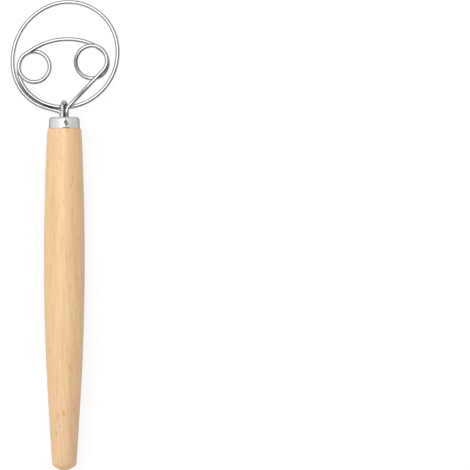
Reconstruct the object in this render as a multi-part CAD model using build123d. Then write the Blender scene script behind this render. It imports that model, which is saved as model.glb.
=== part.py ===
from build123d import *
import os
from math import asin, atan2, ceil, cos, degrees, hypot, pi, radians, sin, sqrt, tan

# A dough whisk: one long steel wire bent into a ring with two eyes inside it, bound by a short hook of the
# same wire and glued into a turned wooden handle under a drawn steel ferrule. The handle lies along Y with
# its butt at the low end, the ring lies flat, and +Z points away from the surface that the part lies on.

# Wire
wire_diameter = 3.0
wire_gap = 0.6  # least clear space where the wire passes over itself

# Ring and eyes, measured on the wire's centre line
ring_radius = 38.2
left_eye_radius = 11.1
right_eye_radius = 11.4
lead_out = 8.6  # straight run from the exit bend to the ring
exit_rise = 1.2  # from the ferrule's top to the exit bend
exit_bend_radius = 3.2
end_rise = 4.2  # from the ferrule's top to the end bend
end_bend_radius = 5.0
end_run_hold = 8.0  # how far the end run stays level before it dips

# Binding hook
hook_gap = 0.3  # clear space between the hook and the ring's closing end
hook_skew = 18  # the turn of the hook's plane about the handle's axis, in degrees

# Handle
grip_length = 247.3
belly_diameter = 29.5
belly_height = 150.0  # from the butt
taper_diameter = 23.3  # where the belly's long curve runs out into a straight taper to the butt
taper_height = 50.0
waist_diameter = 26.0
neck_length = 12.8  # from the waist up to the ferrule's rim
neck_diameter = 24.1
neck_round = 1.2
butt_diameter = 17.6
butt_slope = 3.4  # rise of the butt's sloping end
butt_round = 4.2
butt_facet = 5.0  # the small flat sanded at the end
tail_depth = 34.0  # how deep the wire's tails reach below the ferrule's rim
bore_spare = 3.0  # how much deeper the bore is drilled
drill_point = 118  # in degrees

# Ferrule
ferrule_length = 8.1
ferrule_diameter = 22.3  # at the rim
ferrule_top_diameter = 21.7
ferrule_wall = 0.6
ferrule_round = 2.0
ferrule_crown = 0.35
rim_lift = 0.8  # how far the punch has drawn the rim up
rim_lift_width = 6.2
dent_height = 5.6
dent_width = 3.5
dent_depth = 1.1
dent_angle = 9  # from the front, about the handle's axis, in degrees

# Fits
tenon_fit = 0.08  # between the tenon and the ferrule
dent_fit = 0.1  # between the dent and the wood
glue_film = 0.05  # between the glue and what it holds
glue_dip = 0.5  # from the ferrule's top down to the glue's
glue_wall = 0.3  # least from a wire to the bore's wall

# The ring is bent by hand: each stretch has its radius as a share of the ring's, and the heading at its end
# in degrees from +X. All of it turns clockwise as seen from +Z. The last share climbs part of the way.
lead_heading = 164.7
ring_shares = (
    (0.878, 97.8, 0.0),
    (1.14, 21.5, 0.34),
    (0.927, -80.5, 0.38),
    (1.053, -153.0, 0.28),
)
closing_shares = ((0.976, -198.6), (0.881, -231.0), (0.61, -278.4))
left_eye_headings = (-330.0, -620.0, -687.8)
rise_share = 0.164  # the straight run from the left eye to the arch, of the ring's radius
arch_shares = ((1.216, -735.6), (0.881, -759.7))
right_eye_shares = ((0.995, -911.5), (1.032, -1080.0), (0.946, None))

# Where the tails and the hook's middle lie across the bore, in wire diameters from its axis
start_tail_shares = (-0.70, -0.70)
end_tail_shares = (0.667, 1.0)
hook_across_share = -0.08
side_share = 0.88  # how far the outer run lies outside the closing end, in wire diameters

dent_outline_shares = ((0.02, 0.5), (-0.5, 0.08), (0.08, -0.5), (0.5, -0.14))
dent_floor_share = 0.22  # the dent's floor, of its outline

layer = wire_diameter + wire_gap
wire_radius = wire_diameter / 2
ferrule_top = grip_length + ferrule_length
bore_top = ferrule_top + ferrule_crown  # the cut runs clear of the crown
tail_end = grip_length - tail_depth
waist_height = grip_length - neck_length
ring_level = -sqrt(layer**2 - (side_share * wire_diameter) ** 2)
start_tail = tuple(share * wire_diameter for share in start_tail_shares)
end_tail = tuple(share * wire_diameter for share in end_tail_shares)
hook_radius = (wire_diameter + hook_gap) / cos(radians(hook_skew))
hook_across = hook_across_share * wire_diameter
front_leg = (hook_across - hook_radius * sin(radians(hook_skew)), hook_radius * cos(radians(hook_skew)))
rear_leg = (hook_across + hook_radius * sin(radians(hook_skew)), -hook_radius * cos(radians(hook_skew)))
tails = (start_tail, end_tail, front_leg, rear_leg)
bore_radius = max(hypot(*tail) for tail in tails) + wire_radius + glue_wall
quarter_turn = 90
half_turn = 180
alignment = 1e-9  # tangents count as parallel below this


def forward(heading):
    """Unit vector in the ring's plane."""
    return Vector(cos(radians(heading)), sin(radians(heading)), 0)


def leftward(heading):
    return forward(heading + quarter_turn)


class Route:
    """A route of straight and round stretches seen from above, whose level climbs smoothly along each."""

    def __init__(self, start, heading):
        self.at = start
        self.heading = heading
        self.edges = []
        self.centres = []

    def extend(self, length, turn, radius, climb):
        side = 1 if turn > 0 else -1
        centre = self.at + leftward(self.heading) * radius * side if turn else None
        pieces = max(1, ceil(abs(turn) / (quarter_turn if climb else half_turn)))
        start, heading = self.at, self.heading
        at, along = start, forward(heading)
        for step in range(1, pieces + 1):
            share = step / pieces
            level = climb * share * share * (3 - 2 * share)
            slope = climb * 6 * share * (1 - share) / length
            now = heading + turn * share
            if turn:
                point = centre - leftward(now) * radius * side + Vector(0, 0, level)
            else:
                point = start + forward(heading) * length * share + Vector(0, 0, level)
            after = (forward(now) + Vector(0, 0, slope)).normalized()
            if climb:
                self.edges += biarc(at, along, point, after)
            elif turn:
                self.edges.append(Edge.make_tangent_arc(at, along, point))
            else:
                self.edges.append(Edge.make_line(at, point))
            at, along = point, after
        self.at = at
        self.heading = heading + turn
        self.centres.append(centre)

    def straight(self, length, climb=0):
        self.extend(length, 0, 0, climb)

    def arc(self, radius, heading, climb=0):
        turn = heading - self.heading
        self.extend(radius * radians(abs(turn)), turn, radius, climb)

    def wire(self):
        return Wire(self.edges)


def biarc(p0, t0, p1, t1):
    """Two arcs that leave along one tangent, meet smoothly half way and arrive along the other."""
    chord = p1 - p0
    both = t0 + t1
    bend = 2 * (1 - t0.dot(t1))
    if bend < alignment:
        reach = chord.dot(chord) / (4 * chord.dot(t1))
    else:
        reach = (sqrt(chord.dot(both) ** 2 + bend * chord.dot(chord)) - chord.dot(both)) / bend
    meet = (p0 + t0 * reach + p1 - t1 * reach) * 0.5
    across = (p1 - t1 * reach - p0 - t0 * reach).normalized()
    return [Edge.make_tangent_arc(p0, t0, meet), Edge.make_tangent_arc(meet, across, p1)]


def tube(path):
    """The wire swept along a path."""
    return sweep(Plane(path @ 0, z_dir=path % 0) * Circle(wire_radius), path)


def whisk_route():
    """From the start tail up out of the ferrule, round the ring, both eyes and back to the end tail."""
    route = Route(Vector(start_tail[0], tail_end, start_tail[1]), quarter_turn)
    route.straight(ferrule_top + exit_rise - tail_end)
    route.arc(exit_bend_radius, lead_heading, ring_level - start_tail[1])
    route.straight(lead_out)
    for share, heading, climb_share in ring_shares:
        route.arc(share * ring_radius, heading, -climb_share * ring_level)
    for share, heading in closing_shares:
        route.arc(share * ring_radius, heading)
    closing_centre = route.centres[-len(closing_shares)]
    for heading, climb in zip(left_eye_headings, (0, layer, 0)):
        route.arc(left_eye_radius, heading, climb)
    route.straight(rise_share * ring_radius)
    for share, heading in arch_shares:
        route.arc(share * ring_radius, heading)
    first, second, last = right_eye_shares
    route.arc(first[0] * right_eye_radius, first[1])
    route.arc(second[0] * right_eye_radius, second[1], layer)

    # The end run touches both the eye's last circle and the end bend's circle, on opposite sides.
    last_radius = last[0] * right_eye_radius
    eye_centre = route.at - leftward(route.heading) * last_radius
    bend_centre = Vector(end_tail[0] + end_bend_radius, ferrule_top + end_rise, eye_centre.Z)
    apart = bend_centre - eye_centre
    heading = degrees(atan2(apart.Y, apart.X) - asin((last_radius + end_bend_radius) / apart.length))
    turns = round((route.heading - quarter_turn - heading) / 360)
    route.arc(last_radius, heading + turns * 360)
    run = sqrt(apart.length**2 - (last_radius + end_bend_radius) ** 2)
    route.straight(end_run_hold)
    route.straight(run - end_run_hold, -layer)
    route.arc(end_bend_radius, route.heading + quarter_turn - (route.heading % 360 - 180))
    route.straight(route.at.Y - ferrule_top, end_tail[1] - layer)
    route.straight(ferrule_top - tail_end)
    return route, closing_centre


def least_gap(path, length):
    """Least clear space of a wire to itself, measured between points along it."""
    count = ceil(length / (wire_diameter / 3))
    points = [path @ (i / count) for i in range(count + 1)]
    skip = ceil(count * pi * wire_diameter / length)
    gaps = [
        (points[i] - points[j]).length - wire_diameter
        for i in range(count + 1)
        for j in range(i + skip, count + 1)
    ]
    return min(gaps)


def whisk_wire():
    route, centre = whisk_route()
    path = route.wire()
    body = tube(path)
    exact = path.length * pi * wire_radius**2
    print(f"whisk wire: {path.length:.1f} mm long, volume {body.volume / exact:.4f} of section times length")
    print(f"whisk wire: least gap to itself {least_gap(path, path.length):.2f} mm")
    return body, centre


def binding_hook(closing_centre):
    """A U whose plane stands across the ring's closing end, with both legs in the bore."""
    reach = closing_shares[0][0] * ring_radius
    top = closing_centre.Y - sqrt(reach**2 - (hook_across - closing_centre.X) ** 2)
    front_foot = Vector(front_leg[0], tail_end, front_leg[1])
    front_top = Vector(front_leg[0], top, front_leg[1])
    rear_top = Vector(rear_leg[0], top, rear_leg[1])
    rear_foot = Vector(rear_leg[0], tail_end, rear_leg[1])
    crown = Vector(hook_across, top + hook_radius, 0)
    path = Wire(
        [
            Edge.make_line(front_foot, front_top),
            Edge.make_three_point_arc(front_top, crown, rear_top),
            Edge.make_line(rear_top, rear_foot),
        ]
    )
    return tube(path)


def ferrule_radius(height):
    """Outer radius of the conical cap at a height above its rim."""
    return ferrule_diameter / 2 - (ferrule_diameter - ferrule_top_diameter) / 2 * height / ferrule_length


def cap(inset, top_round):
    """The ferrule's crowned form, smaller by an inset on every side but the rim."""
    height = ferrule_length - inset
    rim = ferrule_radius(0) - inset
    shoulder = ferrule_radius(ferrule_length) - inset
    top = grip_length + height
    edge = top - ferrule_crown
    with BuildPart() as form:
        with BuildSketch(Plane.XY):
            with BuildLine():
                Line((0, grip_length), (rim, grip_length))
                Line((rim, grip_length), (shoulder, edge))
                Line((shoulder, edge), (0, top))
                Line((0, top), (0, grip_length))
            face = make_face()
            corner = face.vertices().sort_by(Axis.X)[-2:].sort_by(Axis.Y)[-1]
            fillet(corner, top_round)
        revolve(axis=Axis.Y)
    return form.part


def dent_plane(height):
    """The plane through the handle's axis that faces the dent, with its origin at a height on the axis."""
    turn = radians(dent_angle)
    return Plane(origin=(0, height, 0), x_dir=(cos(turn), 0, -sin(turn)), z_dir=(sin(turn), 0, cos(turn)))


def punch(grow):
    """The four-sided punch mark, grown sideways and inwards, as the solid that it takes from the ferrule."""
    width = dent_width + 2 * grow
    height = dent_height + 2 * grow
    outline = [(across * width, up * height) for across, up in dent_outline_shares]
    floor = [(x * dent_floor_share, y * dent_floor_share) for x, y in outline]
    seat = ferrule_radius(0)
    middle = grip_length + (ferrule_length - ferrule_wall) / 2
    facing = dent_plane(middle)
    with BuildPart() as mark:
        with BuildSketch(facing.offset(seat)):
            Polygon(*outline, align=None)
        with BuildSketch(facing.offset(seat - dent_depth - grow)):
            Polygon(*floor, align=None)
        loft(ruled=True)
    return mark.part


def bore(radius, depth, top):
    """A drilled hole from a top down past the ferrule's rim, with the cone of the drill's point."""
    point = radius / tan(radians(drill_point / 2))
    bottom = grip_length - depth
    with BuildPart() as hole:
        with BuildSketch(Plane.XY):
            Polygon((0, bottom - point), (radius, bottom), (radius, top), (0, top), align=None)
        revolve(axis=Axis.Y)
    return hole.part


def ferrule():
    """A drawn cap with a hole for the wires, a punched dent and a rim drawn up under it."""
    shell = cap(0, ferrule_round) - cap(ferrule_wall, ferrule_round - ferrule_wall)
    inner = cap(ferrule_wall, ferrule_round - ferrule_wall)
    bulge = punch(ferrule_wall) & inner
    notch_radius = (rim_lift**2 + (rim_lift_width / 2) ** 2) / (2 * rim_lift)
    facing = dent_plane(grip_length + rim_lift - notch_radius)
    notch = extrude(facing * Circle(notch_radius), ferrule_diameter)
    hole = bore(bore_radius, tail_depth, bore_top)
    return shell + bulge - punch(0) - notch - hole


def side_arc(span, rise):
    """Radius and turn of the arc that leaves the belly along the axis and comes in by a rise over a span."""
    radius = (span**2 + rise**2) / (2 * rise)
    return radius, asin(span / radius)


def side_point(radius, turn):
    """A point of the handle's side at a turn along an arc from the belly."""
    return belly_diameter / 2 - radius * (1 - cos(turn)), belly_height + radius * sin(turn)


def handle():
    """Turned wood: a sloping butt, a long belly, a waist, the neck's shoulder and the tenon."""
    neck = neck_diameter / 2
    butt = butt_diameter / 2
    low_radius, low_turn = side_arc(taper_height - belly_height, (belly_diameter - taper_diameter) / 2)
    high_radius, high_turn = side_arc(waist_height - belly_height, (belly_diameter - waist_diameter) / 2)
    taper = side_point(low_radius, low_turn)
    waist = side_point(high_radius, high_turn)
    high_slope = Vector(-sin(high_turn), cos(high_turn))
    with BuildPart() as turned:
        with BuildSketch(Plane.XY):
            with BuildLine():
                Line((0, 0), (butt_facet / 2, 0))
                Line((butt_facet / 2, 0), (butt, butt_slope))
                Line((butt, butt_slope), taper)
                ThreePointArc(taper, side_point(low_radius, low_turn / 2), side_point(low_radius, 0))
                ThreePointArc(side_point(high_radius, 0), side_point(high_radius, high_turn / 2), waist)
                TangentArc(waist, (neck, grip_length), tangent=high_slope)
                Line((neck, grip_length), (0, grip_length))
                Line((0, grip_length), (0, 0))
            face = make_face()
            corners = face.vertices()
            fillet(corners.sort_by_distance((butt, butt_slope))[0], butt_round)
            fillet(face.vertices().sort_by_distance((neck, grip_length))[0], neck_round)
        revolve(axis=Axis.Y)
    inset = ferrule_wall + tenon_fit
    tenon = cap(inset, ferrule_round - ferrule_wall)
    hole = bore(bore_radius, tail_depth + bore_spare, bore_top)
    return turned.part + tenon - punch(ferrule_wall + dent_fit) - hole


def glue_plug():
    """Set glue that fills the bore round the four tails."""
    plug = bore(bore_radius - glue_film, tail_depth + bore_spare - glue_film, ferrule_top - glue_dip)
    length = ferrule_top - tail_end + glue_film
    for across, level in tails:
        seat = Plane(origin=(across, tail_end - glue_film, level), z_dir=(0, 1, 0))
        plug -= extrude(seat * Circle(wire_radius + glue_film), length)
    return plug


os.makedirs("parts", exist_ok=True)
wire_body, closing = whisk_wire()
nodes = {
    "handle": handle(),
    "ferrule": ferrule(),
    "whisk_wire": wire_body,
    "binding_hook": binding_hook(closing),
    "glue_plug": glue_plug(),
}

# The origin is the middle of the whole part's box, on the surface that it lies on.
box = Compound([solid for part in nodes.values() for solid in part.solids()]).bounding_box()
rest = Location((-box.center().X, -box.center().Y, -box.min.Z))
print(f"whole part: {box.size.X:.2f} x {box.size.Y:.2f} x {box.size.Z:.2f} mm, handle's axis at "
      f"x {-box.center().X:.3f}, z {-box.min.Z:.3f}, butt at y {-box.center().Y:.3f}")
for name, part in nodes.items():
    export_step(rest * part, f"parts/{name}.step")
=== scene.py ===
import math
import bmesh
import bpy
import numpy as np
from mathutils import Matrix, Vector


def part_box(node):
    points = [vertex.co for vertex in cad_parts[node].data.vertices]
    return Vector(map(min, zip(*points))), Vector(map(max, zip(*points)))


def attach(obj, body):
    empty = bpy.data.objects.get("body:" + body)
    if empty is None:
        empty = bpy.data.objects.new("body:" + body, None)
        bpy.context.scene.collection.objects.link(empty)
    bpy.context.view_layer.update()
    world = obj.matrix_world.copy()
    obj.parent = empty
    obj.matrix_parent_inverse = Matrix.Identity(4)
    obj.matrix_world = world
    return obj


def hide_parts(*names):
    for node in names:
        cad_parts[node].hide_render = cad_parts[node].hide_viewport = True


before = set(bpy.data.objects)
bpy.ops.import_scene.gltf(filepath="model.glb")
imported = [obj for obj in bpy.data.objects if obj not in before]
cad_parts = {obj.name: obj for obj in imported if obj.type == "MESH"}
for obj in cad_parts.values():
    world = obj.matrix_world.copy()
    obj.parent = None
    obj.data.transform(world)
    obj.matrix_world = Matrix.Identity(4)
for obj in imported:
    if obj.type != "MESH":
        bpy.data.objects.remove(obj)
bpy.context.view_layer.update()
bpy.context.scene.view_settings.view_transform = "Standard"
print("frame loaded:", sorted(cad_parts))

# Lengths are in millimetres, in the handle's own frame: X and Z from its axis, Y from its butt.
mm = 0.001
handleLow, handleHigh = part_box("handle")
axis = np.array([(handleLow.x + handleHigh.x) / 2, handleLow.y, (handleLow.z + handleHigh.z) / 2])
mergeWithin = 1e-7  # in metres


def addObject(name, data):
    made = bpy.data.objects.new(name, data)
    bpy.context.scene.collection.objects.link(made)
    return made


def gridMesh(name, points, wrapU=False, wrapV=False, **attributes):
    # Points on a grid of (u, v) become quads; a wrapped side joins its last row to its first.
    # An attribute holds a number or a vector for each point.
    rows, columns = points.shape[:2]
    i, j = np.meshgrid(np.arange(rows - (not wrapU)), np.arange(columns - (not wrapV)), indexing="ij")
    u = np.stack([i, i + 1, i + 1, i]) % rows
    v = np.stack([j, j, j + 1, j + 1]) % columns
    mesh = bpy.data.meshes.new(name)
    mesh.from_pydata((points * mm + axis).reshape(-1, 3), [], (u * columns + v).reshape(4, -1).T)
    for key, values in attributes.items():
        kind, field = ("FLOAT_VECTOR", "vector") if values.ndim == 3 else ("FLOAT", "value")
        attribute = mesh.attributes.new(key, kind, "POINT")
        attribute.data.foreach_set(field, values.astype(np.float32).ravel())
    return mesh


def finishMesh(mesh, sharpFrom, openEnds=False):
    # Merges poles and seams, closes open ends, turns faces outwards and shades all but sharp edges smooth.
    shape = bmesh.new()
    shape.from_mesh(mesh)
    bmesh.ops.remove_doubles(shape, verts=shape.verts, dist=mergeWithin)
    if openEnds:
        bmesh.ops.holes_fill(shape, edges=[e for e in shape.edges if e.is_boundary], sides=0)
    bmesh.ops.recalc_face_normals(shape, faces=shape.faces)
    shape.to_mesh(mesh)
    shape.free()
    mesh.polygons.foreach_set("use_smooth", [True] * len(mesh.polygons))
    mesh.set_sharp_from_angle(angle=math.radians(sharpFrom))


def addPiece(mesh, material, node):
    # A finished mesh becomes a piece of the rigid body and stands in for the node's own looks.
    piece = addObject(mesh.name, mesh)
    mesh.materials.append(material)
    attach(piece, "root")
    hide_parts(node)
    print(mesh.name, "has", len(mesh.polygons), "faces")


def feed(tree, node, **values):
    # Fills a node's inputs with values, or links them where the value is another node's socket.
    # In a key an underscore stands for a space, and in0 or in1 for an input's number.
    for key, value in values.items():
        numbered = key.startswith("in") and key[2:].isdigit()
        socket = node.inputs[int(key[2:]) if numbered else key.replace("_", " ")]
        if isinstance(value, bpy.types.NodeSocket):
            tree.links.new(value, socket)
        else:
            socket.default_value = value


def makeNode(tree, kind, settings=None, **values):
    # Settings are the node's own properties; values fill its inputs.
    node = tree.nodes.new(kind)
    for key, value in (settings or {}).items():
        setattr(node, key, value)
    feed(tree, node, **values)
    return node


def calc(tree, operation, a, b=0.0, c=0.0, clamp=False):
    settings = {"operation": operation, "use_clamp": clamp}
    return makeNode(tree, "ShaderNodeMath", settings, in0=a, in1=b, in2=c).outputs[0]


def measureAlong(tree, place, direction):
    # How far a place lies along a direction.
    node = makeNode(tree, "ShaderNodeVectorMath", {"operation": "DOT_PRODUCT"}, in0=place, in1=direction)
    return node.outputs["Value"]


def dimmed(tree, colour, level):
    # A colour times a level that changes over the surface.
    return makeNode(tree, "ShaderNodeVectorMath", {"operation": "SCALE"}, in0=colour, Scale=level).outputs[0]


def bumped(tree, height, looks):
    # The normal over a relief.
    bump = makeNode(tree, "ShaderNodeBump", Strength=looks["bump"], Distance=looks["bumpHeight"] * mm,
                    Height=height)
    return bump.outputs[0]


def objectPlace(tree):
    return tree.nodes.new("ShaderNodeTexCoord").outputs["Object"]


def grey(level):
    return (level, level, level, 1)


def newMaterial(name, **values):
    material = bpy.data.materials.new(name)
    material.use_nodes = True
    tree = material.node_tree
    shader = tree.nodes["Principled BSDF"]
    feed(tree, shader, **values)
    return material, tree, shader


# Camera: straight down from far away, over the middle of the photograph. Places are in pixels, the scale is
# in millimetres to a pixel, and what is seen ends at a distance in metres.
picture = {
    "side": 470, "scale": 0.723, "axisAt": 64.33, "buttAt": 470.3, "lens": 300, "sensor": 36, "seesTo": 100,
}


def addCamera():
    data = bpy.data.cameras.new("camera")
    data.lens = picture["lens"]
    data.sensor_width = picture["sensor"]
    data.clip_end = picture["seesTo"]
    across = (picture["side"] / 2 - picture["axisAt"]) * picture["scale"]
    along = (picture["buttAt"] - picture["side"] / 2) * picture["scale"]
    away = picture["side"] * picture["scale"] * picture["lens"] / picture["sensor"]
    camera = addObject("camera", data)
    camera.location = axis + np.array([across, along, away]) * mm
    bpy.context.scene.camera = camera
    print("camera", round(away), "mm above the handle's axis")


# Studio, in metres and degrees: a white floor, a large soft lamp up and to the left, and dark flags that only
# reflections see. The flags' light grows between two shares of their radius.
studio = {
    "fillLevel": 0.80, "fillSlope": 0.30, "fillFrom": (-0.85, 0.5, 0.0),
    "floorSide": 12.0, "floorRows": 9, "floorColour": 0.20, "floorGlow": 0.82, "glowShare": 0.35,
    "flagRadius": 6.0, "flagTurns": 96, "flagRows": 9, "flagTop": 75, "flagLean": 6, "flagTowards": -50,
    "flagDark": 0.01, "flagLight": 0.44, "flagFrom": -0.97, "flagTo": -0.20,
    "lampSize": 0.8, "lampAt": (-0.25, 0.42, 0.9), "lampLevel": 2.1,
}


def turnAngles(count):
    # The angles of one full turn, without its end.
    return np.linspace(0, 2 * np.pi, count, endpoint=False)


def pale(tree):
    # One for the rays that see the background as white, which are the camera's, glossy and transmitted ones.
    path = tree.nodes.new("ShaderNodeLightPath")
    seen = calc(tree, "MAXIMUM", path.outputs["Is Camera Ray"], path.outputs["Is Glossy Ray"])
    return calc(tree, "MAXIMUM", seen, path.outputs["Is Transmission Ray"])


def addWorld():
    # White for what is seen; for what is lit, a level that grows towards the upper left.
    world = bpy.data.worlds.new("studio")
    bpy.context.scene.world = world
    world.use_nodes = True
    tree = world.node_tree
    way = tree.nodes.new("ShaderNodeTexCoord").outputs["Generated"]
    side = measureAlong(tree, way, studio["fillFrom"])
    fill = calc(tree, "MULTIPLY_ADD", side, studio["fillLevel"] * studio["fillSlope"], studio["fillLevel"])
    seen = pale(tree)
    level = calc(tree, "MULTIPLY_ADD", calc(tree, "SUBTRACT", 1.0, seen), fill, seen)
    feed(tree, tree.nodes["Background"], Color=grey(1), Strength=level)


def addFloor():
    # A flat grid on the ground, which the handle's belly touches. Rays that light the object see less of its
    # glow than the camera does.
    line = np.linspace(-studio["floorSide"] / 2, studio["floorSide"] / 2, studio["floorRows"])
    x, y = np.meshgrid(line, line, indexing="ij")
    mesh = gridMesh("floor", (np.stack([x, y, 0 * x], -1) - axis) / mm)
    material, tree, shader = newMaterial("floorPaper", Base_Color=grey(studio["floorColour"]), Roughness=1.0,
                                         Specular_IOR_Level=0.0)
    share = calc(tree, "MULTIPLY_ADD", pale(tree), 1 - studio["glowShare"], studio["glowShare"])
    glow = makeNode(tree, "ShaderNodeEmission", Strength=calc(tree, "MULTIPLY", share, studio["floorGlow"]))
    both = makeNode(tree, "ShaderNodeAddShader", in0=shader.outputs[0], in1=glow.outputs[0])
    feed(tree, tree.nodes["Material Output"], Surface=both.outputs[0])
    mesh.materials.append(material)
    addObject("floor", mesh)


def addFlags():
    # A band of a sphere from the horizon up. Opposite the lamp it reaches higher and its cloth is darkest.
    towards = math.radians(studio["flagTowards"])
    share = np.linspace(0, 1, studio["flagRows"])
    turn, share = np.meshgrid(turnAngles(studio["flagTurns"]), share, indexing="ij")
    up = share * np.radians(studio["flagTop"] + studio["flagLean"] * np.cos(turn - towards))
    ball = np.stack([np.cos(turn) * np.cos(up), np.sin(turn) * np.cos(up), np.sin(up)], -1)
    mesh = gridMesh("flags", (ball * studio["flagRadius"] - axis) / mm, wrapU=True)
    material, tree, shader = newMaterial("flagCloth", Base_Color=grey(0), Roughness=1.0,
                                         Emission_Color=grey(1), Specular_IOR_Level=0.0)
    side = measureAlong(tree, objectPlace(tree), (-math.cos(towards), -math.sin(towards), 0))
    near, far = studio["flagRadius"] * studio["flagFrom"], studio["flagRadius"] * studio["flagTo"]
    cloth = makeNode(tree, "ShaderNodeMapRange", {"interpolation_type": "SMOOTHSTEP"}, Value=side,
                     From_Min=near, From_Max=far, To_Min=studio["flagDark"], To_Max=studio["flagLight"])
    feed(tree, shader, Emission_Strength=cloth.outputs[0])
    mesh.materials.append(material)
    flags = addObject("flags", mesh)
    flags.visible_camera = flags.visible_diffuse = flags.visible_shadow = flags.visible_transmission = False


def addLamp():
    # A square lamp. Its energy is its level times pi times its area, so that its face shows that level.
    lamp = bpy.data.lights.new("softbox", "AREA")
    lamp.shape = "SQUARE"
    lamp.size = studio["lampSize"]
    lamp.energy = studio["lampLevel"] * math.pi * studio["lampSize"] ** 2
    box = addObject("softbox", lamp)
    box.location = studio["lampAt"]
    box.visible_camera = False


def roundCorner(before, corner, after, radius, steps):
    # An arc of the radius that touches both lines at a corner: its centre, plus cosine times the way to its
    # first point, plus sine times the way square to that.
    before, corner, after = (np.array(p, float) for p in (before, corner, after))
    a = (before - corner) / np.linalg.norm(before - corner)
    b = (after - corner) / np.linalg.norm(after - corner)
    half = math.acos(np.clip(a @ b, -1, 1)) / 2
    centre = corner + (a + b) / np.linalg.norm(a + b) * radius / math.sin(half)
    first = corner + a * radius / math.tan(half) - centre
    last = corner + b * radius / math.tan(half) - centre
    sweep = math.atan2(first[0] * last[1] - first[1] * last[0], first @ last)
    t = np.linspace(0, sweep, steps)[:, None]
    side = np.array([-first[1], first[0]])
    return centre + first * np.cos(t) + side * np.sin(t)


def arcFromTangent(start, slope, end, steps):
    # The arc that leaves a point along a slope and ends at another point. Its radius is the chord squared
    # over twice the chord's part along the normal.
    start, end = np.array(start, float), np.array(end, float)
    slope = np.array(slope, float) / np.linalg.norm(slope)
    normal = np.array([-slope[1], slope[0]])
    chord = end - start
    radius = chord @ chord / (2 * chord @ normal)
    centre = start + normal * radius
    sweep = 2 * math.atan2(chord @ normal, chord @ slope)
    t = np.linspace(0, sweep, steps)[:, None]
    return centre - normal * radius * np.cos(t) + slope * radius * np.sin(t)


def carryRound(profile, angle):
    # A profile of radius and height carried round the axis: x is radius times sine, z radius times cosine.
    radius, height = profile[:, 0, None], profile[:, 1, None]
    return np.stack([radius * np.sin(angle), height + 0 * angle, radius * np.cos(angle)], -1)


def turnRound(points, degrees):
    # A turn about the axis, from the front towards the right: x times cosine plus z times sine, and z times
    # cosine less x times sine.
    x, y, z = np.moveaxis(points, -1, 0)
    sine, cosine = math.sin(math.radians(degrees)), math.cos(math.radians(degrees))
    return np.stack([x * cosine + z * sine, y, z * cosine - x * sine], -1)


# Ferrule: a drawn cap with a punched dent, its rim drawn up under the dent. The dent's outline is in shares
# of its width and height, its floor and the fade of its painted shade are shares of the way to its edge, the
# lift's fade is a share of the cap's length, and evenTurns is the share of the angles that is spread evenly.
ferruleForm = {
    "rim": 247.3, "length": 8.1, "diameter": 22.3, "topDiameter": 21.7, "wall": 0.6, "round": 2.0,
    "crown": 0.35, "hole": 5.4, "lift": 0.8, "liftWidth": 6.2, "liftFade": 0.6,
    "dentHeight": 5.6, "dentWidth": 3.5, "dentDepth": 1.1, "dentAngle": 9, "dentFloor": 0.22,
    "dentOutline": ((0.02, 0.5), (-0.5, 0.08), (0.08, -0.5), (0.5, -0.14)),
    # The dent's painted shade: how far it grows past the dent, its fade, and its level at the middle.
    "dentShadeGrow": 0.16, "dentShadeFade": 0.16, "dentShadeMiddle": 0.7,
    "turns": 384, "evenTurns": 0.25, "sideSteps": 60, "cornerSteps": 14, "domeSteps": 10, "sharpFrom": 24,
}


def dentReach(points, grow):
    # How far out a point lies in the dent's outline, grown on all sides: nought at its middle and one on its
    # edge. It is the largest of four parts, one along each edge's normal with that edge at one.
    f = ferruleForm
    corners = np.array(f["dentOutline"]) * (f["dentWidth"] + 2 * grow, f["dentHeight"] + 2 * grow)
    edges = np.roll(corners, -1, axis=0) - corners
    normals = np.stack([-edges[:, 1], edges[:, 0]], 1)
    normals /= (normals * corners).sum(1, keepdims=True)
    place = points[..., :2] - (0, (f["length"] - f["wall"]) / 2)
    return (place @ normals.T).max(-1)


def cutDent(points, grow):
    # Points that face the punch (x across, y up from the rim, z out) are pressed back to its four slopes: z
    # is at most the cap's radius less a depth that grows evenly from the edge to a small floor.
    f = ferruleForm
    reach = dentReach(points, grow)
    depth = (f["dentDepth"] + grow) * np.clip((1 - reach) / (1 - f["dentFloor"]), 0, 1)
    x, y, z = np.moveaxis(points, -1, 0)
    pressed = np.where((reach < 1) & (z > 0), np.minimum(z, f["diameter"] / 2 - depth), z)
    return np.stack([x, y, pressed], -1)


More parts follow.
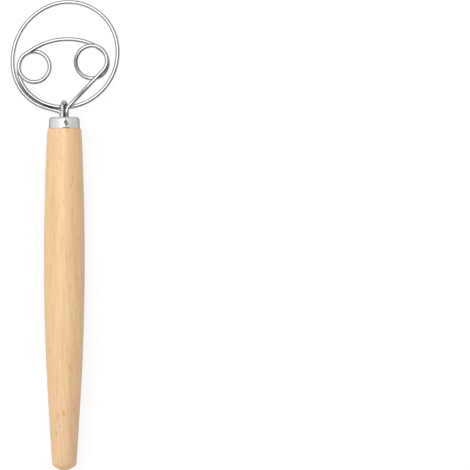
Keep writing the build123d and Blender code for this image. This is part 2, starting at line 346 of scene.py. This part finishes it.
def ferruleMesh():
    # A profile carried round the axis, its rim lifted in an arc, then cut back to the punch's four slopes.
    f = ferruleForm
    radius, top, wall = f["diameter"] / 2, f["length"], f["wall"]

    def side(inset):
        # Radius and height from the rim up the side, round the shoulder and over the domed top to the hole.
        shoulder = (f["topDiameter"] / 2 - inset, top - inset - f["crown"])
        rim = (radius - inset, 0)
        corner = roundCorner(rim, shoulder, (0, top - inset), f["round"] - inset, f["cornerSteps"])
        straight = np.linspace(rim, corner[0], f["sideSteps"])[:-1]
        r = np.linspace(corner[-1, 0], f["hole"], f["domeSteps"])[1:]
        dome = np.stack([r, top - inset - f["crown"] * (r / shoulder[0]) ** 2], 1)
        return np.vstack([straight, corner, dome])

    outer, inner = side(0), side(wall)
    spread = np.linspace(-1, 1, f["turns"], endpoint=False)
    turn = np.pi * (f["evenTurns"] * spread + (1 - f["evenTurns"]) * spread**3)  # closer together at the dent
    shell = carryRound(np.vstack([outer, inner[::-1]]), turn)
    front = shell[..., 2] > 0
    arc = (f["lift"] ** 2 + (f["liftWidth"] / 2) ** 2) / (2 * f["lift"])
    lifted = f["lift"] - arc + np.sqrt(np.clip(arc**2 - shell[..., 0] ** 2, 0, None))
    fade = np.clip(1 - shell[..., 1] / (top * f["liftFade"]), 0, 1)
    shell[..., 1] += np.where(front, np.clip(lifted, 0, None), 0) * fade
    # Painted shade in the dent, darkest near its edge.
    reach = dentReach(shell, f["dentShadeGrow"])
    level = f["dentShadeMiddle"] + (1 - f["dentShadeMiddle"]) * reach**2
    dentShade = np.where(front, np.clip((1 - reach) / f["dentShadeFade"], 0, 1) * level, 0)
    cut = np.vstack([cutDent(shell[:len(outer)], 0), cutDent(shell[len(outer):], wall)])
    points = turnRound(cut, f["dentAngle"]) + (0, f["rim"], 0)
    mesh = gridMesh("steelFerrule", points, wrapU=True, wrapV=True, shaded=dentShade)
    finishMesh(mesh, f["sharpFrom"])
    return mesh


# Handle: turned beech. Its widths are diameters, but for the bore's radius. The tenon is pressed in under the
# ferrule's dent.
handleForm = {
    "gripLength": 247.3, "belly": 29.5, "bellyAt": 150.0, "taper": 23.3, "taperAt": 50.0,
    "waist": 26.0, "waistAt": 234.5, "neck": 24.1, "neckRound": 1.2,
    "butt": 17.6, "buttSlope": 3.4, "buttRound": 4.2, "facet": 5.0,
    "tenon": 20.6, "tenonTop": 254.7, "tenonBevel": 1.2, "dentSpace": 0.1,
    "boreRadius": 5.4, "boreBottom": 210.3, "borePoint": 3.2,
    "turns": 160, "bellySteps": 14, "buttSteps": 12, "neckSteps": 8, "cornerSteps": 10, "tenonSteps": 24,
    "sharpFrom": 35,
}


def handleProfile():
    # Radius and height from the facet up the outside, over the shoulder and tenon, and down the bore.
    f = handleForm
    grip, top, bevel = f["gripLength"], f["tenonTop"], f["tenonBevel"]
    facet, tenon = f["facet"] / 2, f["tenon"] / 2
    belly = (f["belly"] / 2, f["bellyAt"])
    low = arcFromTangent(belly, (0, -1), (f["taper"] / 2, f["taperAt"]), f["bellySteps"])
    butt = np.linspace(low[-1], (f["butt"] / 2, f["buttSlope"]), f["buttSteps"])
    high = arcFromTangent(belly, (0, 1), (f["waist"] / 2, f["waistAt"]), f["bellySteps"])
    neck = arcFromTangent(high[-1], high[-1] - high[-2], (f["neck"] / 2, grip), f["neckSteps"])
    buttCorner = roundCorner((facet, 0), butt[-1], butt[0], f["buttRound"], f["cornerSteps"])
    neckCorner = roundCorner(neck[-2], neck[-1], (0, grip), f["neckRound"], f["cornerSteps"])
    butt = butt[butt[:, 1] > buttCorner[-1, 1]]
    neck = neck[neck[:, 1] < neckCorner[0, 1]]
    side = np.linspace((tenon, grip), (tenon, top - bevel), f["tenonSteps"])
    inside = [
        (tenon - bevel, top), (f["boreRadius"], top), (f["boreRadius"], f["boreBottom"]),
        (0, f["boreBottom"] - f["borePoint"]),
    ]
    outside = [[(0, 0), (facet, 0)], buttCorner, butt[::-1], low[::-1][1:], high[1:], neck[1:], neckCorner]
    return np.vstack([*outside, side, inside])


def handleMesh():
    # The profile carried round the axis, its tenon cut back by the punch and the ferrule's wall.
    points = carryRound(handleProfile(), turnAngles(handleForm["turns"]))
    rim, turn = (0, ferruleForm["rim"], 0), ferruleForm["dentAngle"]
    dented = cutDent(turnRound(points - rim, -turn), ferruleForm["wall"] + handleForm["dentSpace"])
    onTenon = points[..., 1:2] > handleForm["gripLength"]
    mesh = gridMesh("woodHandle", np.where(onTenon, turnRound(dented, turn) + rim, points), wrapV=True)
    finishMesh(mesh, handleForm["sharpFrom"])
    return mesh


# Wood: pale beech, its grain along the handle, with short flecks and a painted shadow just under the ferrule's
# rim. A layer has its noise's fineness across and along the grain, detail and roughness, the values between
# which it fades in, and its tone and the share of that.
wood = {
    "pale": (0.865, 0.585, 0.325), "dark": (0.675, 0.377, 0.168), "fleck": (0.560, 0.275, 0.115),
    # The last tone is the grey of the painted shadow under the ferrule's rim.
    "blotch": (0.820, 0.510, 0.280), "rimShadowTone": (0.330, 0.290, 0.260),
    "patches": {"grain": (38, 9, 2.0, 0.55), "fade": (0.38, 0.68), "tone": "blotch", "share": 0.75},
    "rings": {"fade": (0.35, 1.0), "tone": "dark", "share": 0.16},
    "fibre": {"grain": (620, 26, 3.0, 0.6), "fade": (0.46, 0.76), "tone": "dark", "share": 0.55},
    "fine": {"grain": (1500, 90, 2.0, 0.6), "fade": (0.50, 0.80), "tone": "dark", "share": 0.25},
    "flecks": {"grain": (950, 150, 1.0, 0.5), "fade": (0.60, 0.70), "tone": "fleck", "share": 0.54},
    "clusters": {"grain": (110, 60, 1.0, 0.55), "fade": (0.44, 0.60)},
    # Painted shadow: the wood turns grey just under the ferrule's rim.
    "joint": {"fade": (246.6, 247.5), "tone": "rimShadowTone", "share": 0.75},
    "pith": (-46, 0, -31), "pithTurn": (1.1, 0, -0.8), "ringPitch": 2.6,
    "ringBend": 2.2, "ringDetail": 2.0, "ringDetailScale": 0.35,
    "roughness": 0.44, "roughnessSpan": 0.16, "gloss": 0.7,
    "fibreHeight": 0.6, "fleckDepth": 0.5, "bump": 0.25, "bumpHeight": 0.06,
}
waveRadians = 20  # by which a wave texture turns over one unit of its scale


def woodMaterial():
    material, tree, shader = newMaterial("paleBeech", Specular_IOR_Level=wood["gloss"])
    place = objectPlace(tree)

    def noise(layer):
        across, along, detail, roughness = wood[layer]["grain"]
        scaled = makeNode(tree, "ShaderNodeMapping", Vector=place, Scale=(across, along, across)).outputs[0]
        return makeNode(tree, "ShaderNodeTexNoise", Vector=scaled, Scale=1.0, Detail=detail,
                        Roughness=roughness).outputs["Fac"]

    def fade(value, layer):
        low, high = wood[layer]["fade"]
        return makeNode(tree, "ShaderNodeMapRange", Value=value, From_Min=low, From_Max=high).outputs[0]

    # Growth rings stand round a pith outside the handle, a little out of line with it.
    pith = tuple(-axis - np.array(wood["pith"]) * mm)
    centred = makeNode(tree, "ShaderNodeMapping", Vector=place, Location=pith,
                       Rotation=tuple(np.radians(wood["pithTurn"]))).outputs[0]
    rings = makeNode(tree, "ShaderNodeTexWave", {"wave_type": "RINGS", "rings_direction": "Y"},
                     Vector=centred, Scale=2 * math.pi / (waveRadians * wood["ringPitch"] * mm),
                     Distortion=wood["ringBend"], Detail=wood["ringDetail"],
                     Detail_Scale=wood["ringDetailScale"]).outputs["Fac"]
    fibre, clusters = noise("fibre"), fade(noise("clusters"), "clusters")
    flecks = calc(tree, "MULTIPLY", fade(noise("flecks"), "flecks"), clusters, clamp=True)
    y = makeNode(tree, "ShaderNodeSeparateXYZ", Vector=place).outputs["Y"]
    height = calc(tree, "DIVIDE", calc(tree, "SUBTRACT", y, axis[1]), mm)
    masks = {
        "patches": fade(noise("patches"), "patches"), "rings": fade(rings, "rings"),
        "fibre": fade(fibre, "fibre"), "fine": fade(noise("fine"), "fine"), "flecks": flecks,
        # Painted shadow under the ferrule's rim.
        "joint": fade(height, "joint"),
    }
    base = wood["pale"] + (1,)
    for layer, mask in masks.items():
        share = calc(tree, "MULTIPLY", mask, wood[layer]["share"])
        tone = wood[wood[layer]["tone"]] + (1,)
        mix = makeNode(tree, "ShaderNodeMix", {"data_type": "RGBA"}, in0=share, in6=base, in7=tone)
        base = mix.outputs[2]
    span = wood["roughnessSpan"]
    rough = calc(tree, "MULTIPLY_ADD", fibre, span, wood["roughness"] - span / 2)
    relief = calc(tree, "SUBTRACT", calc(tree, "MULTIPLY", fibre, wood["fibreHeight"]),
                  calc(tree, "MULTIPLY", flecks, wood["fleckDepth"]))
    feed(tree, shader, Base_Color=base, Roughness=rough, Normal=bumped(tree, relief, wood))
    return material


# Whisk wire: one wire bent by hand. Headings are in degrees and count anticlockwise from X, seen from above.
# The ring, its closing end, the arch and the right turns are arcs, each with its share of a radius and the
# heading that it reaches; the left turns have the heading alone. An arc of the ring ends with the share of the
# ring's level that it climbs, and a turn with how many layers it climbs.
wireForm = {
    "diameter": 3.0, "layer": 3.6, "ringLevel": -2.447,
    "startTail": (-2.1, -2.1), "endTail": (2.001, 3.0), "tailEnd": 213.3, "ferruleTop": 255.4,
    "exitRise": 1.2, "exitBend": 3.2, "leadHeading": 164.7, "leadOut": 8.6,
    "ringRadius": 38.2, "leftEye": 11.1, "rightEye": 11.4,
    "ring": ((0.878, 97.8, 0.0), (1.14, 21.5, 0.34), (0.927, -80.5, 0.38), (1.053, -153.0, 0.28)),
    "closing": ((0.976, -198.6), (0.881, -231.0), (0.61, -278.4)),
    "leftTurns": ((-330.0, 0), (-620.0, 1), (-687.8, 0)), "rise": 0.164,
    "arch": ((1.216, -735.6), (0.881, -759.7)),
    "rightTurns": ((0.995, -911.5, 0), (1.032, -1080.0, 1)), "lastTurn": 0.946,
    "endRise": 4.2, "endBend": 5.0, "hold": 8.0,
    "step": 0.5, "sides": 32, "sharpFrom": 35,
}


def unit(heading):
    return np.array([math.cos(math.radians(heading)), math.sin(math.radians(heading)), 0.0])


def sharesOf(length):
    # Even steps up to one along a stretch of the route.
    return np.linspace(0, 1, math.ceil(length / wireForm["step"]) + 1)[1:, None]


def lift(climb, t):
    # A level that climbs in two equal bends: twice t squared, and the same turned round from half way.
    share = np.where(t < 0.5, 2 * t * t, 1 - 2 * (1 - t) ** 2)
    return climb * share * np.array([0, 0, 1.0])


def addRun(route, length, climb=0.0):
    # A straight run: where the route is, plus shares of the length along its heading, plus the lift.
    t = sharesOf(length)
    route["points"].append(route["at"] + unit(route["heading"]) * length * t + lift(climb, t))
    route["at"] = route["points"][-1][-1]


def addArc(route, radius, heading, climb=0.0):
    # A round run from the route's heading to a new one: its centre lies square to the heading, and each point
    # is a radius away from it, plus the lift.
    turn = heading - route["heading"]
    side = math.copysign(1, turn)
    centre = route["at"] + unit(route["heading"] + 90) * radius * side
    t = sharesOf(radius * math.radians(abs(turn)))
    angle = np.radians(route["heading"] + 90 + turn * t)
    outward = np.concatenate([np.cos(angle), np.sin(angle), 0 * t], 1) * radius * side
    route["points"].append(centre - outward + lift(climb, t))
    route["at"] = route["points"][-1][-1]
    route["heading"] = heading
    return centre


def wireRoute():
    # From the start tail out of the ferrule, round the ring and both eyes, and back to the end tail.
    w = wireForm
    start = np.array([w["startTail"][0], w["tailEnd"], w["startTail"][1]])
    route = {"at": start, "heading": 90.0, "points": [start[None]]}
    addRun(route, w["ferruleTop"] + w["exitRise"] - w["tailEnd"])
    addArc(route, w["exitBend"], w["leadHeading"], w["ringLevel"] - w["startTail"][1])
    addRun(route, w["leadOut"])
    for share, heading, climb in w["ring"]:
        addArc(route, share * w["ringRadius"], heading, -climb * w["ringLevel"])
    # The hook needs the centre of the first closing arc.
    closing = [addArc(route, share * w["ringRadius"], heading) for share, heading in w["closing"]][0]
    for heading, climbs in w["leftTurns"]:
        addArc(route, w["leftEye"], heading, climbs * w["layer"])
    addRun(route, w["rise"] * w["ringRadius"])
    for share, heading in w["arch"]:
        addArc(route, share * w["ringRadius"], heading)
    for share, heading, climbs in w["rightTurns"]:
        addArc(route, share * w["rightEye"], heading, climbs * w["layer"])
    # The last turn goes on until a straight run from it touches the bend into the ferrule.
    last = w["lastTurn"] * w["rightEye"]
    eye = route["at"] - unit(route["heading"] + 90) * last
    bend = np.array([w["endTail"][0] + w["endBend"], w["ferruleTop"] + w["endRise"], eye[2]])
    apart = bend - eye
    reach = np.linalg.norm(apart)
    heading = math.degrees(math.atan2(apart[1], apart[0]) - math.asin((last + w["endBend"]) / reach))
    addArc(route, last, heading + round((route["heading"] - 90 - heading) / 360) * 360)
    addRun(route, w["hold"])
    addRun(route, math.sqrt(reach**2 - (last + w["endBend"]) ** 2) - w["hold"], -w["layer"])
    addArc(route, w["endBend"], route["heading"] + 90 - (route["heading"] % 360 - 180))
    addRun(route, route["at"][1] - w["ferruleTop"], w["endTail"][1] - w["layer"])
    addRun(route, w["ferruleTop"] - w["tailEnd"])
    return np.vstack(route["points"]), closing


# Painted shade beside and under close wires, where no cloth gets in: it darkens the gaps between wires
# where shade and dark reflections fall. A wire's own nearest stretch is skipped.
creviceShadeForm = {
    "besideReach": 1.3, "underReach": 1.1, "lowShare": 0.2, "from": 0.03, "over": 0.10, "skip": 15.0,
    "every": 2,
}


def creviceShade(points, path, other):
    # How much painted shade each point holds, from nought to one: colour darkened where a close wire
    # would shade it. A close stretch of wire gives one less the clear space to it over a reach, times how
    # squarely the point faces it. Against the other wire only the upright part of that counts. Against the
    # same wire only the flat part counts, and more so the lower the stretch lies. The most that a point is
    # given is then stretched over a narrow span.
    g, diameter = creviceShadeForm, wireForm["diameter"]
    wires = np.vstack([path, other]).astype(np.float32)
    spot = np.arange(len(wires))[::g["every"]]
    apart = wires[spot] - wires[:len(path), None]
    away = np.maximum(np.linalg.norm(apart, axis=-1), diameter)
    towards = apart / away[..., None]
    isOther = spot >= len(path)
    isNear = ~isOther & (np.abs(spot - np.arange(len(path))[:, None]) < g["skip"] / wireForm["step"])
    close = np.clip(1 - (away - diameter) / np.where(isOther, g["underReach"], g["besideReach"]), 0, 1)
    low = np.clip(g["lowShare"] - (1 - g["lowShare"]) * towards[..., 2], 0, 1)
    weight = np.where(isNear, 0, close * np.where(isOther, 1, low))
    pull = towards * np.where(isOther[:, None], (0, 0, 1), (1, 1, 0)) * weight[..., None]
    outward = (points - path[:, None]) / (diameter / 2)
    found = (outward.astype(np.float32) @ pull.astype(np.float32).swapaxes(1, 2)).max(-1)
    return np.clip((found - g["from"]) / g["over"], 0, 1)


def tubeMesh(name, path, upright, other):
    # A circle carried along a path: centre plus radius times (cosine times across plus sine times up).
    radius, angle = wireForm["diameter"] / 2, turnAngles(wireForm["sides"])
    along = np.gradient(path, axis=0)
    along /= np.linalg.norm(along, axis=1, keepdims=True)
    across = np.cross(along, upright)
    across /= np.linalg.norm(across, axis=1, keepdims=True)
    up = np.cross(across, along)
    ring = np.cos(angle)[:, None] * across[:, None] + np.sin(angle)[:, None] * up[:, None]
    points = path[:, None] + radius * ring
    # The wire's own straight coordinates, which its drawn lines follow.
    distance = np.r_[0, np.cumsum(np.linalg.norm(np.diff(path, axis=0), axis=1))]
    straight = np.broadcast_arrays(distance[:, None], radius * np.cos(angle), radius * np.sin(angle))
    unbent = np.stack(straight, -1) * mm
    # The shaded attribute holds painted shade where wires lie close together.
    mesh = gridMesh(name, points, wrapV=True, unbent=unbent, shaded=creviceShade(points, path, other))
    finishMesh(mesh, wireForm["sharpFrom"], openEnds=True)
    print(name, "is", round(distance[-1], 1), "mm long")
    return mesh


# Binding hook: a short U of the same wire across the ring's closing end, skewed by an angle.
hookForm = {"gap": 0.3, "skew": 18, "across": -0.24, "crownSteps": 49, "legSteps": 90}


def hookPath(closing):
    # Up the front leg, over the crown and down the rear leg, and the way that is square to them. The crown is
    # its middle plus cosine times the way out plus sine times the radius along Y.
    w, h, skew = wireForm, hookForm, math.radians(hookForm["skew"])
    radius = (w["diameter"] + h["gap"]) / math.cos(skew)
    reach = w["closing"][0][0] * w["ringRadius"]
    top = closing[1] - math.sqrt(reach**2 - (h["across"] - closing[0]) ** 2)
    turn = np.linspace(0, np.pi, h["crownSteps"])[:, None]
    out = radius * np.array([-math.sin(skew), 0, math.cos(skew)])
    crown = (h["across"], top, 0) + np.cos(turn) * out + np.sin(turn) * (0, radius, 0)
    rise = np.linspace(w["tailEnd"], top, h["legSteps"])[:-1, None] * (0, 1, 0)
    front, rear = crown[0] * (1, 0, 1) + rise, crown[-1] * (1, 0, 1) + rise[::-1]
    return np.vstack([front, crown, rear]), (math.cos(skew), 0, math.sin(skew))


# Drawn steel: the looks of the wire and of the ferrule. The cap's thin grey film takes more light where it is
# seen at a slant.
steelNoise = {"lineDetail": 3.0, "lineRoughness": 0.6, "patchDetail": 2.0, "middle": 0.5}
# The shade share of each look is how far the shaded attribute's painted shade darkens its colour.
wireSteel = {
    "colour": (0.60, 0.597, 0.59), "metal": 1.0, "edge": 0.02, "roughness": 0.22, "shadeDepth": 0.9,
    "film": 0.0, "filmTint": 1.0, "lines": (18, 2600, 2600), "patches": 70.0, "contrast": 0.26,
    "bump": 0.12, "bumpHeight": 0.02,
}
ferruleSteel = {
    "colour": (0.97, 0.97, 0.965), "metal": 0.35, "edge": 0.3, "roughness": 0.45, "shadeDepth": 0.75,
    "film": 1.0, "filmTint": 0.8, "lines": (2200, 60, 2200), "patches": 120.0, "contrast": 0.16,
    "bump": 0.08, "bumpHeight": 0.02,
}
filmIor = 1.0  # so that the film has no gloss of its own


def drawnSteel():
    # A node group: fine lines drawn along a wire or round a cap, and slow patches, both from noise.
    group = bpy.data.node_groups.new("drawnSteel", "ShaderNodeTree")
    inputs = {"Vector": "Vector", "Line Scale": "Vector", "Patch Scale": "Float", "Contrast": "Float"}
    for name, kind in inputs.items():
        group.interface.new_socket(name=name, in_out="INPUT", socket_type="NodeSocket" + kind)
    for name in ("Colour Shift", "Roughness Shift", "Height"):
        group.interface.new_socket(name=name, in_out="OUTPUT", socket_type="NodeSocketFloat")
    entry = group.nodes.new("NodeGroupInput").outputs
    scaled = makeNode(group, "ShaderNodeVectorMath", {"operation": "MULTIPLY"}, in0=entry["Vector"],
                      in1=entry["Line Scale"]).outputs[0]
    lines = makeNode(group, "ShaderNodeTexNoise", Vector=scaled, Scale=1.0, Detail=steelNoise["lineDetail"],
                     Roughness=steelNoise["lineRoughness"]).outputs["Fac"]
    patches = makeNode(group, "ShaderNodeTexNoise", Vector=entry["Vector"], Scale=entry["Patch Scale"],
                       Detail=steelNoise["patchDetail"]).outputs["Fac"]
    both = calc(group, "SUBTRACT", calc(group, "ADD", lines, patches), 2 * steelNoise["middle"])
    shift = calc(group, "MULTIPLY", both, entry["Contrast"])
    feed(group, group.nodes.new("NodeGroupOutput"), Colour_Shift=calc(group, "ADD", shift, 1.0),
         Roughness_Shift=shift, Height=lines)
    return group


def steelMaterial(name, looks, group, attribute=None):
    # Lines follow an attribute's coordinates, or the object's own. Painted shade darkens crevices and the
    # dent.
    material, tree, shader = newMaterial(
        name, Metallic=looks["metal"], Specular_Tint=grey(looks["edge"]), Coat_Weight=looks["film"],
        Coat_Tint=grey(looks["filmTint"]), Coat_IOR=filmIor, Coat_Roughness=looks["roughness"],
    )
    if attribute:
        place = makeNode(tree, "ShaderNodeAttribute", {"attribute_name": attribute}).outputs["Vector"]
    else:
        place = objectPlace(tree)
    grain = makeNode(tree, "ShaderNodeGroup", {"node_tree": group}, Vector=place, Line_Scale=looks["lines"],
                     Patch_Scale=looks["patches"], Contrast=looks["contrast"]).outputs
    # Painted shade: the shaded attribute darkens the colour in crevices between wires and in the dent.
    dark = makeNode(tree, "ShaderNodeAttribute", {"attribute_name": "shaded"}).outputs["Fac"]
    unshaded = calc(tree, "MULTIPLY_ADD", dark, -looks["shadeDepth"], 1.0)
    tint = dimmed(tree, looks["colour"], calc(tree, "MULTIPLY", grain["Colour Shift"], unshaded))
    rough = calc(tree, "ADD", grain["Roughness Shift"], looks["roughness"], clamp=True)
    feed(tree, shader, Base_Color=tint, Roughness=rough, Normal=bumped(tree, grain["Height"], looks))
    return material


# Glue: amber and cloudy, only just seen where the wires leave the ferrule.
glueLooks = {
    "colour": (0.62, 0.46, 0.24), "roughness": 0.25, "coat": 0.4, "cloudScale": 700.0, "cloudDetail": 2.0,
    "cloudLow": 0.8, "cloudSpan": 0.4, "bump": 0.2, "bumpHeight": 0.1,
}


def glueMaterial():
    g = glueLooks
    material, tree, shader = newMaterial("amberGlue", Roughness=g["roughness"], Coat_Weight=g["coat"])
    cloud = makeNode(tree, "ShaderNodeTexNoise", Vector=objectPlace(tree), Scale=g["cloudScale"],
                     Detail=g["cloudDetail"]).outputs["Fac"]
    level = calc(tree, "MULTIPLY_ADD", cloud, g["cloudSpan"], g["cloudLow"])
    feed(tree, shader, Base_Color=dimmed(tree, g["colour"], level), Normal=bumped(tree, cloud, g))
    return material


addCamera()
addWorld()
addFloor()
addFlags()
addLamp()
print("studio set")

addPiece(handleMesh(), woodMaterial(), "handle")
steelGrain = drawnSteel()
wireLook = steelMaterial("brightWire", wireSteel, steelGrain, "unbent")
wirePoints, closingCentre = wireRoute()
hookPoints, hookSquare = hookPath(closingCentre)
addPiece(tubeMesh("bentWire", wirePoints, (0, 0, 1), hookPoints), wireLook, "whisk_wire")
addPiece(tubeMesh("hookWire", hookPoints, hookSquare, wirePoints), wireLook, "binding_hook")
ferruleLook = steelMaterial("satinFerrule", ferruleSteel, steelGrain)
addPiece(ferruleMesh(), ferruleLook, "ferrule")
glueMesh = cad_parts["glue_plug"].data
glueMesh.materials.clear()
glueMesh.materials.append(glueMaterial())
